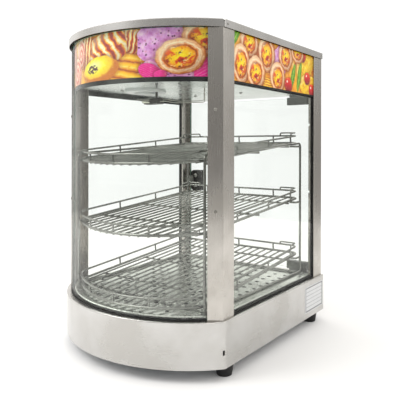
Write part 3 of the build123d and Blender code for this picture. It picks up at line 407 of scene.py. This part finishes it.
# Motif, middle along the sign and up it, half length, half height (all mm), and turn in degrees.
# Those that come first lie underneath.
FRONT_PRINT = [
    ("wafer", 58, 26, 50, 40, -5), ("fan", 52, 66, 24, 22, -30), ("fan", -6, 56, 50, 30, 14),
    ("fan", -74, 60, 26, 34, -20), ("cake", 110, 58, 46, 44, 12), ("cake", 130, 12, 60, 24, 0),
    ("roll", -92, 56, 22, 28, 10), ("roll", -116, 20, 27, 32, 0), ("roll", -156, 56, 32, 36, 25),
    ("bun", -176, 14, 34, 24, 0), ("bun", -24, 20, 52, 24, 3), ("petal", 190, 12, 26, 20, 30),
    ("petal", 90, 8, 24, 14, -24), ("tart", 188, 66, 44, 32, -8), ("tart", 143, 34, 45, 31, 3),
    ("petal", 108, 4, 12, 8, 10),
]
SIDE_PRINT = [
    ("leaf", -122, 78, 22, 10, 50), ("fruit", -40, 84, 30, 14, 10), ("cake", 40, 50, 26, 36, 0),
    ("wafer", -20, 4, 44, 12, 0), ("leaf", 98, 30, 30, 11, 70), ("fruit", 156, 60, 44, 34, 30),
    ("fruit", 172, 18, 40, 24, 0), ("berry", 78, 12, 17, 15, 0), ("berry", 168, 34, 15, 14, 0),
    ("berry", 146, 78, 14, 12, 0), ("berry", 190, 10, 15, 14, 0), ("leaf", 128, 34, 34, 10, 75),
    ("tart", -76, 74, 32, 28, 6), ("tart", -104, 32, 30, 37, 0), ("tart", -12, 62, 32, 36, 10),
    ("tart", -52, 22, 33, 32, -8), ("tart", 66, 68, 31, 30, 0), ("tart", 32, 22, 31, 32, 12),
    ("tart", 120, 84, 30, 24, 0),
]


PRINT_SATURATION = 1.16
PRINT_BRIGHTNESS = 1.12


def sign(name, along, height, motifs):
    """A print: along and height are functions that give a point's place on the sign, in metres."""
    material, g, shader, _ = new_material(name, Coat_Weight=0.35, Coat_Roughness=0.08)
    place = g.place()
    flat = g.join(along(g, place), height(g, place))
    wobble = g.vector("SUBTRACT", g.noise(flat, 55.0, 3.0, 0.5, "Color"), (0.5, 0.5, 0.5))
    flat = g.vector("ADD", flat, g.vector("SCALE", wobble, scale=0.006))
    colour = g.ramp(g.noise(flat, 24.0, 4.0, 0.6), [(0.3, rgb(210, 84, 30)), (0.5, rgb(252, 190, 84)),
                                                    (0.72, rgb(255, 240, 180))])
    for kind, middle, up, half_length, half_height, turn in motifs:
        spot = g.add("Mapping", vector_type="TEXTURE")
        g.put(spot.inputs["Vector"], flat)
        spot.inputs["Location"].default_value = (middle / 1000, up / 1000, 0.0)
        spot.inputs["Rotation"].default_value = (0.0, 0.0, radians(turn))
        spot.inputs["Scale"].default_value = (half_length / 1000, half_height / 1000, 1.0)
        group = g.add("Group", node_tree=MOTIFS[kind])
        g.put(group.inputs[0], spot.outputs[0])
        dimmed = g.math("MULTIPLY", group.outputs[2], 0.6)
        colour = g.blend(dimmed, colour, rgb(150, 70, 34), "MULTIPLY")
        colour = g.blend(group.outputs[1], colour, group.outputs[0])
    crumbs = g.noise(flat, 170.0, 5.0, 0.7)
    colour = g.blend(g.spread(crumbs, 0.54, 0.68, 0.0, 0.45), colour, rgb(226, 120, 60), "MULTIPLY")
    colour = g.blend(g.spread(crumbs, 0.44, 0.3, 0.0, 0.35), colour, rgb(255, 252, 214))
    vivid = g.add("HueSaturation")
    vivid.inputs["Saturation"].default_value = PRINT_SATURATION
    vivid.inputs["Value"].default_value = PRINT_BRIGHTNESS
    g.put(vivid.inputs["Color"], colour)
    g.put(shader.inputs["Base Color"], vivid.outputs[0])
    g.put(shader.inputs["Roughness"], g.math("MULTIPLY_ADD", g.noise(place, 30.0, 3.0), 0.16, 0.24))
    g.put(shader.inputs["Normal"], g.bump(g.noise(place, 40.0, 2.0), 0.04, 0.001))
    return material


SIGN_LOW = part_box("front_sign")[0]
SIDE_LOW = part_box("side_sign_right")[0]
ARC_RADIUS = 0.258


def along_arc(g, place):
    x, y, _ = g.split(place)
    depth = g.math("SUBTRACT", ARC_CENTRE_Y, y)
    return g.math("MULTIPLY", g.math("ARCTAN2", x, depth), ARC_RADIUS)


def along_side(g, place):
    return g.split(place)[1]


def above(bottom):
    return lambda g, place: g.math("SUBTRACT", g.split(place)[2], bottom)


# ---------------------------------------------------------------- finishes for each slot

LABEL_ROWS = 7.0


def label_film():
    """A blank rating plate: silver film with a ruled frame."""
    material, g, shader, _ = new_material("label_film", Metallic=0.35, Roughness=0.32)
    low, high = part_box("rating_label")
    place = g.split(g.place())
    across = g.math("DIVIDE", g.math("SUBTRACT", place[1], low.y), high.y - low.y)
    up = g.math("DIVIDE", g.math("SUBTRACT", place[2], low.z), high.z - low.z)
    row = g.math("FRACT", g.math("MULTIPLY", up, LABEL_ROWS))
    ruled = g.spread(g.math("ABSOLUTE", g.math("SUBTRACT", row, 0.5)), 0.06, 0.03)
    near_edge = g.math("MAXIMUM", g.math("ABSOLUTE", g.math("SUBTRACT", across, 0.5)),
                       g.math("ABSOLUTE", g.math("SUBTRACT", up, 0.5)))
    inside = g.spread(near_edge, 0.44, 0.43)
    border = g.math("MULTIPLY", g.spread(near_edge, 0.43, 0.44), g.spread(near_edge, 0.47, 0.46))
    lines = g.math("MAXIMUM", border, g.math("MULTIPLY", ruled, inside))
    film = g.blend(g.noise(g.place(), 60.0, 3.0), rgb(228, 229, 230), rgb(208, 210, 212))
    g.put(shader.inputs["Base Color"], g.blend(g.math("MULTIPLY", lines, 0.9), film, rgb(84, 86, 90)))
    return material


def ceiling_steel():
    """Bright tray whose narrow lip, where its normal is level, gets painted shade: a dark tone stands in
    for the canopy's shadow.
    """
    material = metal("ceiling_steel", rgb(222, 226, 223), rgb(206, 212, 208), 0.2)
    g = Graph(material.node_tree)
    shader = next(node for node in g.tree.nodes if node.type == "BSDF_PRINCIPLED")
    tone = shader.inputs["Base Color"].links[0].from_socket
    # Painted shade: where the normal is level, on the lip, the tone turns to a patchy dark grey.
    lip = g.spread(g.math("ABSOLUTE", g.split(g.add("TexCoord").outputs["Normal"])[2]), 0.6, 0.4)
    patches = g.noise(g.stretch(g.place(), (16.0, 16.0, 2.0)), 1.0, 2.0)
    dark = g.blend(g.spread(patches, 0.4, 0.65), rgb(44, 46, 45), rgb(92, 96, 93))
    g.put(shader.inputs["Base Color"], g.blend(lip, tone, dark))
    return material


def quartz():
    """Clear tube of the lamp, brighter towards its outline."""
    material, g, shader, output = new_material("lamp_quartz", Roughness=0.08)
    facing = g.add("LayerWeight").outputs["Facing"]
    clear = g.add("BsdfTransparent")
    g.put(clear.inputs[0], g.blend(g.noise(g.place(), 90.0), rgb(245, 246, 240), rgb(226, 226, 214)))
    shader.inputs["Base Color"].default_value = rgb(240, 240, 230)
    rim = g.spread(facing, 0.2, 1.0, 0.12, 0.9)
    g.put(output.inputs[0], g.mix_shader(rim, clear.outputs[0], shader.outputs[0]))
    return material


FINISHES = {
    "polished_stainless": metal("polished_stainless", rgb(206, 205, 203), rgb(190, 188, 184), 0.2,
                                ALONG_SHEET),
    "stainless_dull": metal("stainless_dull", rgb(190, 194, 188), rgb(170, 174, 168), 0.34, EVEN_GRAIN),
    "galvanised_steel": metal("galvanised_steel", rgb(196, 198, 200), rgb(160, 164, 168), 0.45,
                              EVEN_GRAIN, 0.08),
    "curved_glass": pane("curved_glass", "arc", rgb(253, 254, 253), rgb(70, 120, 104)),
    "flat_glass": pane("flat_glass", "x", rgb(253, 254, 253), rgb(70, 120, 104)),
    "gasket_rubber": plastic("gasket_rubber", rgb(34, 34, 34), rgb(20, 20, 20), 0.55),
    "foot_rubber": plastic("foot_rubber", rgb(32, 32, 32), rgb(18, 18, 18), 0.7, 500.0, 0.3),
    "chromed_wire": metal("chromed_wire", rgb(160, 161, 156), rgb(128, 129, 124), 0.12,
                          EVEN_GRAIN, 0.03, 0.06),
    "heater_sheath": metal("heater_sheath", rgb(120, 116, 112), rgb(84, 78, 74), 0.42, EVEN_GRAIN, 0.1),
    "ceramic_white": plastic("ceramic_white", rgb(236, 232, 222), rgb(214, 208, 196), 0.5, 700.0, 0.2),
    "white_enamel": plastic("white_enamel", rgb(236, 238, 236), rgb(222, 226, 224), 0.35, 260.0, 0.06),
    "lamp_holder_dark": plastic("lamp_holder_dark", rgb(96, 94, 90), rgb(70, 68, 66), 0.45, 400.0),
    "lamp_quartz": quartz(),
    "wire_sleeve": plastic("wire_sleeve", rgb(222, 220, 210), rgb(196, 194, 184), 0.5, 1200.0, 0.3),
    "black_plastic": plastic("black_plastic", rgb(36, 36, 37), rgb(24, 24, 25), 0.4, 1100.0, 0.25),
    "smoked_plastic": plastic("smoked_plastic", rgb(70, 68, 66), rgb(46, 44, 42), 0.2, 300.0, 0.03),
    "rocker_red": plastic("rocker_red", rgb(206, 34, 24), rgb(166, 18, 14), 0.28, 500.0, 0.08),
    "rocker_black": plastic("rocker_black", rgb(34, 34, 35), rgb(22, 22, 23), 0.3, 700.0, 0.12),
    "indicator_lens": plastic("indicator_lens", rgb(240, 110, 36), rgb(200, 66, 18), 0.18, 200.0, 0.04),
    "hinge_metal": metal("hinge_metal", rgb(140, 142, 139), rgb(112, 114, 111), 0.22, EVEN_GRAIN, 0.04),
    "screw_steel": metal("screw_steel", rgb(204, 204, 200), rgb(168, 168, 164), 0.28, EVEN_GRAIN, 0.08),
    "magnet_grey": plastic("magnet_grey", rgb(146, 146, 140), rgb(122, 122, 116), 0.4, 800.0),
    "thermostat_case": metal("thermostat_case", rgb(210, 208, 196), rgb(176, 172, 158), 0.36,
                             EVEN_GRAIN, 0.06),
    "label_paper": label_film(),
}
UPRIGHT_STEEL = metal("upright_stainless", rgb(204, 200, 194), rgb(184, 180, 173), 0.22, UP_SHEET)
DOOR_GLASS = pane("door_glass", "y", rgb(253, 254, 253), rgb(70, 120, 104))
FRONT_ART = sign("front_print", along_arc, above(SIGN_LOW.z), FRONT_PRINT)
SIDE_ART = sign("side_print", along_side, above(SIDE_LOW.z), SIDE_PRINT)

OWN_FINISH = {
    "front_post_right": UPRIGHT_STEEL,
    "front_post_left": UPRIGHT_STEEL,
    "rear_post_right": UPRIGHT_STEEL,
    "rear_post_left": UPRIGHT_STEEL,
    "door_glass": DOOR_GLASS,
    "front_sign": FRONT_ART,
    "ceiling_pan": ceiling_steel(),
    "rivets": metal("rivet_steel", rgb(150, 148, 142), rgb(120, 118, 112), 0.42),
    "floor_cover": metal("floor_plate", rgb(214, 218, 211), rgb(196, 200, 193), 0.2, EVEN_GRAIN, 0.04),
    # The well under the floor cover is dark grey: painted shade inside the recess.
    "inner_well": metal("well_steel_painted_shade", rgb(96, 98, 94), rgb(70, 72, 69), 0.4),
    "side_sign_right": SIDE_ART,
    "side_sign_left": SIDE_ART,
}


def slot_of(material_name):
    """The record's slot whose name a packed material starts with."""
    names = sorted(FINISHES, key=len, reverse=True)
    return next((name for name in names if material_name.startswith(name)), None)


def finish_nodes():
    for name, node in NODES.items():
        for place in node.material_slots:
            slot = slot_of(place.material.name)
            place.material = OWN_FINISH.get(name) or FINISHES.get(slot) or FINISHES["stainless_dull"]


finish_nodes()


# ---------------------------------------------------------------- printed marks on the control panel

MARK_PROUD = 0.0002
TICKS = 19
TICK_TURN = -15.0
TICKS_A_NUMBER = 3
NUMBER_STEP = 20
LONG_TICK = 0.0028
SHORT_TICK = 0.0016
TICK_WIDTH = 0.0005
TICK_GAP = 0.0012
NUMBER_GAP = 0.0058
NUMBER_SIZE = 0.0036
# Local X points to the reader's right, seen from the rear, and local Z away from the panel.
FACING_REAR = Matrix(((-1.0, 0.0, 0.0), (0.0, 0.0, 1.0), (0.0, 1.0, 0.0))).to_4x4()


def on_panel(x, z, turn=0.0):
    """Where a mark's local axes go: its middle at x and z on the rear panel's face."""
    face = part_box("base_rear_panel")[1].y
    return Matrix.Translation((x, face, z)) @ FACING_REAR @ Matrix.Rotation(turn, 4, "Z")


def add_text(mesh, body, size, place):
    """Adds raised ink in the shape of a number or a simple sign."""
    curve = bpy.data.curves.new("mark", "FONT")
    curve.body = body
    curve.size = size
    curve.extrude = MARK_PROUD
    curve.align_x = "CENTER"
    curve.align_y = "CENTER"
    holder = bpy.data.objects.new("mark", curve)
    shape = bpy.data.meshes.new_from_object(holder)
    shape.transform(place)
    mesh.from_mesh(shape)
    bpy.data.meshes.remove(shape)
    bpy.data.objects.remove(holder)
    bpy.data.curves.remove(curve)


def add_line(mesh, length, width, place):
    """Adds a raised stroke."""
    size = Matrix.Diagonal((width, length, 2 * MARK_PROUD, 1.0))
    bmesh.ops.create_cube(mesh, size=1.0, matrix=place @ size)


def as_piece(name, mesh, material, body):
    """Turns a bmesh into a piece that rides on a body."""
    data = bpy.data.meshes.new(name)
    mesh.to_mesh(data)
    mesh.free()
    data.materials.append(material)
    piece = bpy.data.objects.new(name, data)
    bpy.context.scene.collection.objects.link(piece)
    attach(piece, body)


def dial_marks():
    """Ticks and numbers round the thermostat knob."""
    mesh = bmesh.new()
    low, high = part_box("thermostat_knob")
    middle_x = (low.x + high.x) / 2
    middle_z = (low.z + high.z) / 2
    reach = (high.x - low.x) / 2
    for step in range(TICKS):
        angle = radians(TICK_TURN * step)
        numbered = step % TICKS_A_NUMBER == 0
        length = LONG_TICK if numbered else SHORT_TICK
        out = reach + TICK_GAP + length / 2
        place = on_panel(middle_x + out * sin(angle), middle_z + out * cos(angle), angle)
        add_line(mesh, length, TICK_WIDTH, place)
        if numbered:
            out = reach + NUMBER_GAP
            place = on_panel(middle_x + out * sin(angle), middle_z + out * cos(angle))
            add_text(mesh, str(step // TICKS_A_NUMBER * NUMBER_STEP), NUMBER_SIZE, place)
    as_piece("dial_marks", mesh, INK, "case")


INK = plastic("panel_ink", rgb(40, 40, 42), rgb(26, 26, 28), 0.6, 1400.0, 0.1)
dial_marks()


# ---------------------------------------------------------------- studio

FLOOR_HALF = 1.6
SEEN_STRENGTH = 1.12
# Brightness of the studio from eye level upwards: heights of the direction, then levels.
SKY = (0.0, 0.8, 0.34, 1.2)
# Bright and dark cards: direction, where the card is full, where it ends (as cosines), and gain.
CARDS = [
    ((-0.8, -0.55, 0.25), 0.95, 0.6, 0.45),
    ((0.85, 0.5, 0.1), 0.97, 0.75, 0.3),
    ((0.66, -0.75, 0.08), 0.96, 0.8, -0.1),
    ((-0.6, 0.8, 0.0), 0.8, 0.2, 0.65),
    ((0.3, 0.95, 0.0), 0.99, 0.965, -0.42),
]
SENSOR = 36.0
LENS = 46.46
FRAME_SHIFT = -0.135
CAMERA_AT = (0.68112, -0.88414, 0.39552)
CAMERA_TURN = (90.0, -0.12, 36.66)
AIM = (0.0, 0.0, 0.3)


def floor():
    """Pale paper under the case."""
    corners = [(-FLOOR_HALF, -FLOOR_HALF, 0.0), (FLOOR_HALF, -FLOOR_HALF, 0.0),
               (FLOOR_HALF, FLOOR_HALF, 0.0), (-FLOOR_HALF, FLOOR_HALF, 0.0)]
    mesh = bpy.data.meshes.new("floor")
    mesh.from_pydata(corners, [], [(0, 1, 2, 3)])
    plane = bpy.data.objects.new("floor", mesh)
    bpy.context.scene.collection.objects.link(plane)
    material, g, shader, _ = new_material("floor_paper", Roughness=0.9)
    shader.inputs["Specular IOR Level"].default_value = 0.1
    tone = g.blend(g.noise(g.place(), 3.0, 3.0), rgb(250, 250, 250), rgb(245, 245, 245))
    g.put(shader.inputs["Base Color"], tone)
    mesh.materials.append(material)


def soft_light(name, place, size, power, tint=(1.0, 1.0, 1.0)):
    data = bpy.data.lights.new(name, "AREA")
    data.shape = "RECTANGLE"
    data.size, data.size_y = size
    data.energy = power
    data.color = tint
    lamp = bpy.data.objects.new(name, data)
    lamp.location = place
    lamp.rotation_euler = (Vector(AIM) - Vector(place)).to_track_quat("-Z", "Y").to_euler()
    bpy.context.scene.collection.objects.link(lamp)


def studio_world():
    """A soft studio: bright above, greyer at eye level, plain white behind the object."""
    world = bpy.data.worlds.new("studio")
    world.use_nodes = True
    world.node_tree.nodes.clear()
    g = Graph(world.node_tree)
    direction = g.vector("NORMALIZE", g.add("TexCoord").outputs["Generated"])
    height = g.split(direction)[2]
    level = g.spread(height, *SKY)
    for toward, inner, outer, gain in CARDS:
        aim = Vector(toward).normalized()
        near = g.vector("DOT_PRODUCT", direction, tuple(aim))
        level = g.math("MULTIPLY_ADD", g.spread(near, outer, inner), gain, level)
    seen = g.add("Background")
    seen.inputs[0].default_value = (1.0, 1.0, 1.0, 1.0)
    seen.inputs["Strength"].default_value = SEEN_STRENGTH
    lighting = g.add("Background")
    lighting.inputs[0].default_value = rgb(252, 250, 247)
    g.put(lighting.inputs["Strength"], level)
    output = g.add("OutputWorld")
    camera_ray = g.add("LightPath").outputs["Is Camera Ray"]
    g.put(output.inputs[0], g.mix_shader(camera_ray, lighting.outputs[0], seen.outputs[0]))
    bpy.context.scene.world = world


def camera():
    data = bpy.data.cameras.new("camera")
    data.sensor_width = SENSOR
    data.lens = LENS
    data.shift_y = FRAME_SHIFT
    view = bpy.data.objects.new("camera", data)
    view.location = CAMERA_AT
    view.rotation_euler = [radians(turn) for turn in CAMERA_TURN]
    bpy.context.scene.collection.objects.link(view)
    bpy.context.scene.camera = view


floor()
studio_world()
soft_light("key_light", (-1.1, -1.5, 1.9), (1.3, 1.3), 22.0)
soft_light("fill_light", (1.9, 0.3, 1.5), (1.2, 1.2), 6.0, (1.0, 0.97, 0.93))
camera()
bpy.context.scene.view_settings.view_transform = "Standard"
